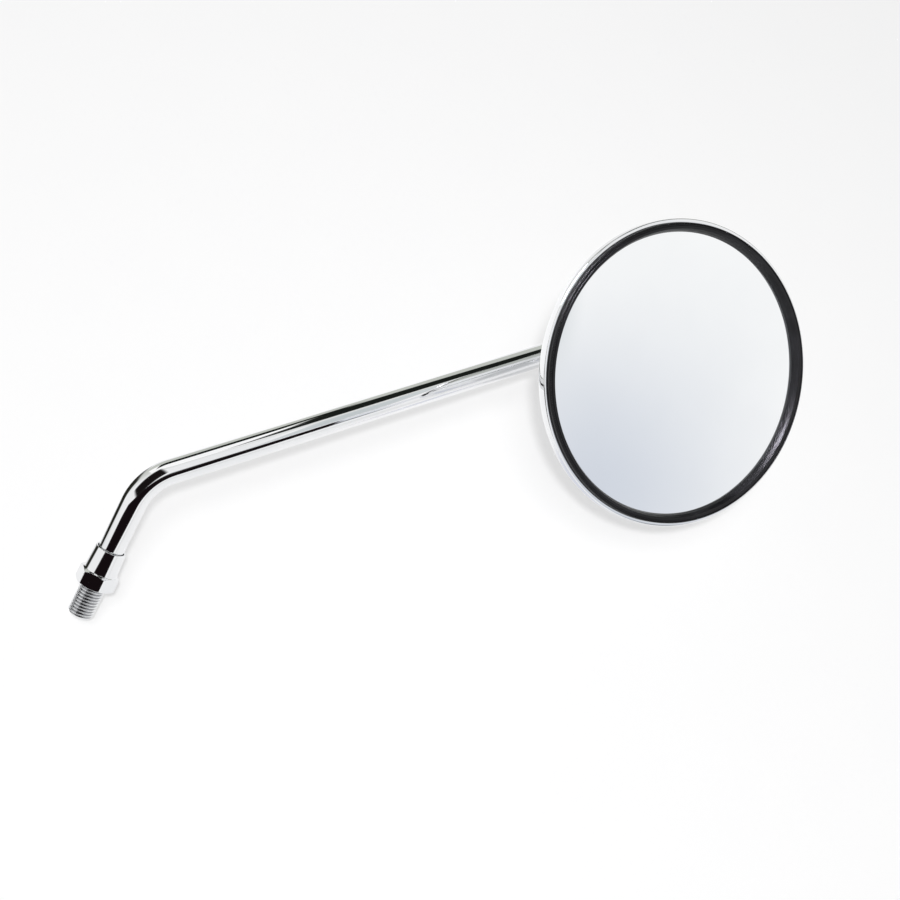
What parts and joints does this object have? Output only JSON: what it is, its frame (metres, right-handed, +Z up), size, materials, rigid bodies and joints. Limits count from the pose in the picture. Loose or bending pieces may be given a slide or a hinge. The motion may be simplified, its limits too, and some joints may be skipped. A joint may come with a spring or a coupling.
{
  "type": "motorcycle mirror",
  "caption": "Round motorcycle mirror with a black rim and a chromed shell on a ball swivel, carried by a bent chromed stem with a threaded foot and a lock nut.",
  "frame": {"origin": "on the axis of the stem's thread, in the plane where the lock nut bears on the handlebar clamp", "axes": "+Z up the thread, +X outward along the stem's run, and the glass faces back to the rider, towards -Y"},
  "size_m": [0.2401, 0.0958, 0.2518],
  "materials": {
    "chrome_plate": "bright chrome plate",
    "zinc_steel": "zinc plated",
    "nylon": "satin",
    "black_rubber": "satin",
    "silvered_glass": "polished",
    "felt": "matt"
  },
  "bodies": {
    "stem": {"stem": "chrome_plate", "swivel_ball": "zinc_steel"},
    "lock_nut": {"lock_nut": "chrome_plate"},
    "rear_seat": {"rear_ball_seat": "nylon"},
    "front_seat": {"front_ball_seat": "nylon"},
    "head": {"mirror_shell": "chrome_plate", "rim_gasket": "black_rubber", "mirror_glass": "silvered_glass", "glass_pad": "felt", "clamp_plate": "zinc_steel", "clamp_studs": "zinc_steel", "disc_springs": "zinc_steel", "stud_washers": "zinc_steel", "stud_nuts": "zinc_steel"}
  },
  "joints": [
    {"name": "head_pan", "type": "hinge", "parent": "stem", "child": "rear_seat", "pos_m": [0.17694, -0.04, 0.17039], "axis": [0, 0, 1], "range_deg": [-5, 39]},
    {"name": "head_tilt", "type": "hinge", "parent": "rear_seat", "child": "front_seat", "pos_m": [0.17694, -0.04, 0.17039], "axis": [0.9563, -0.2924, 0], "range_deg": [-7, 29]},
    {"name": "head_spin", "type": "hinge", "parent": "front_seat", "child": "head", "pos_m": [0.17694, -0.04, 0.17039], "axis": [-0.287, -0.9387, 0.1908], "continuous": true},
    {"name": "lock_nut_travel", "type": "slide", "parent": "stem", "child": "lock_nut", "axis": [0, 0, 1], "range_m": [-0.006, 0.001]}
  ]
}
